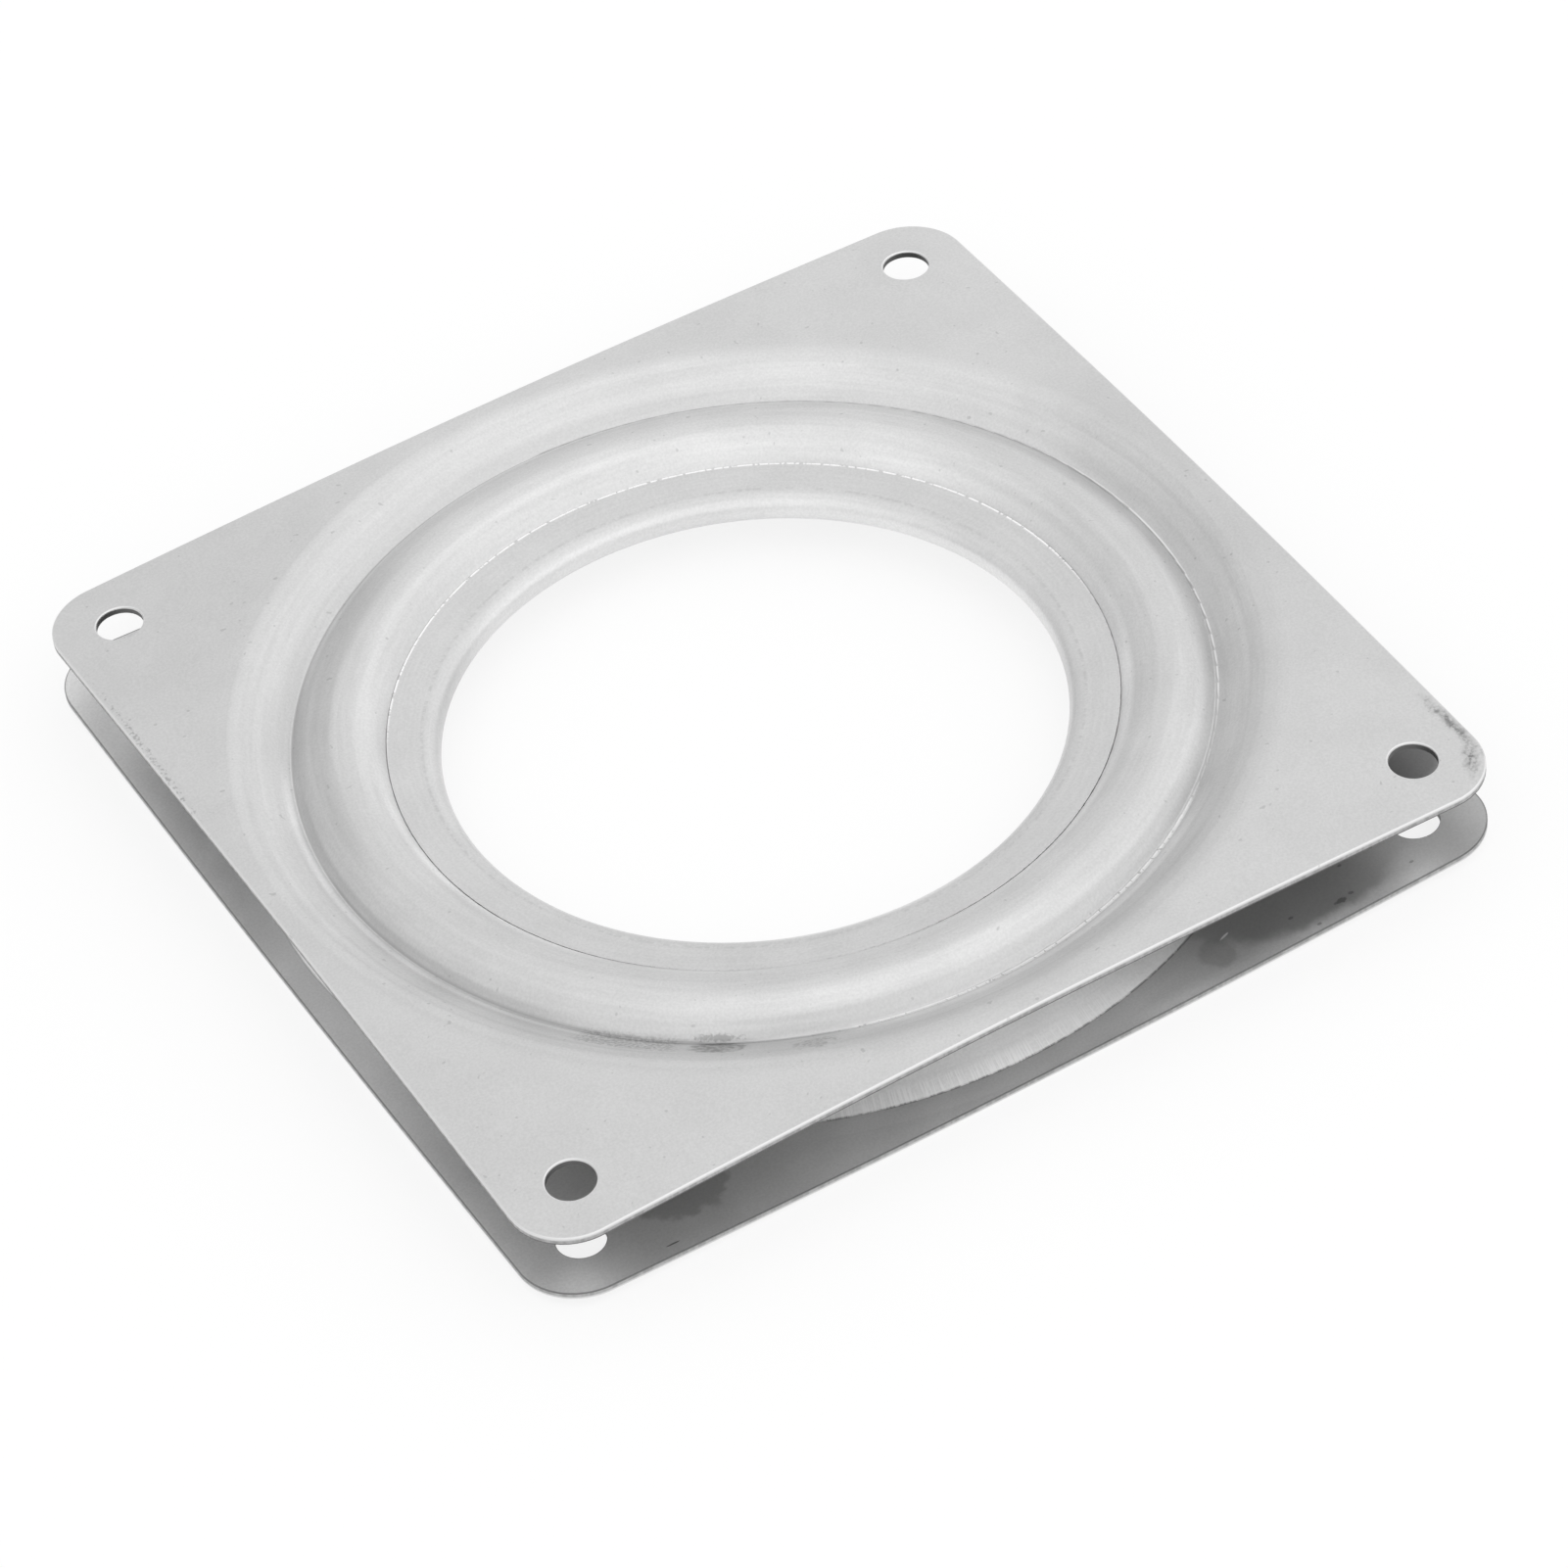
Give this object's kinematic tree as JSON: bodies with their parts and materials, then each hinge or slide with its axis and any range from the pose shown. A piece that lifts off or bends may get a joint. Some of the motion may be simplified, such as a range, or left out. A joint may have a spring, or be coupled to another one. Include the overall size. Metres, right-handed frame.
{
  "type": "lazy susan bearing",
  "caption": "Square pressed-steel turntable bearing: dished plates turn on a ring of balls, held by a rolled ring in the open centre, with screw holes at the corners.",
  "frame": {"origin": "on the axis of rotation, at the seat of the lower plate, which is its lowest ring", "axes": "+Z along the axis of rotation from the lower plate to the upper plate, X and Y along the plates' sides"},
  "size_m": [0.1016, 0.1016, 0.0098],
  "materials": {
    "sheet_steel": "satin zinc-plated sheet steel",
    "ball_steel": "polished bearing steel"
  },
  "bodies": {
    "lower": {"lower_plate": "sheet_steel", "hem_ring": "sheet_steel"},
    "upper": {"upper_plate": "sheet_steel"},
    "balls": {"ball_01": "ball_steel", "ball_02": "ball_steel", "ball_03": "ball_steel", "ball_04": "ball_steel", "ball_05": "ball_steel", "ball_06": "ball_steel", "ball_07": "ball_steel", "ball_08": "ball_steel", "ball_09": "ball_steel", "ball_10": "ball_steel", "ball_11": "ball_steel", "ball_12": "ball_steel", "ball_13": "ball_steel", "ball_14": "ball_steel", "ball_15": "ball_steel", "ball_16": "ball_steel", "ball_17": "ball_steel", "ball_18": "ball_steel", "ball_19": "ball_steel", "ball_20": "ball_steel", "ball_21": "ball_steel", "ball_22": "ball_steel", "ball_23": "ball_steel", "ball_24": "ball_steel", "ball_25": "ball_steel", "ball_26": "ball_steel", "ball_27": "ball_steel", "ball_28": "ball_steel", "ball_29": "ball_steel", "ball_30": "ball_steel", "ball_31": "ball_steel", "ball_32": "ball_steel", "ball_33": "ball_steel"}
  },
  "joints": [
    {"name": "turntable_spin", "type": "hinge", "parent": "lower", "child": "upper", "pos_m": [0, 0, 0.0049], "axis": [0, 0, 1], "continuous": true},
    {"name": "ball_orbit", "type": "hinge", "parent": "lower", "child": "balls", "pos_m": [0, 0, 0.0049], "axis": [0, 0, 1], "continuous": true}
  ],
  "couplings": [
    {"joint": "ball_orbit", "follows": "turntable_spin", "ratio": 0.5}
  ]
}
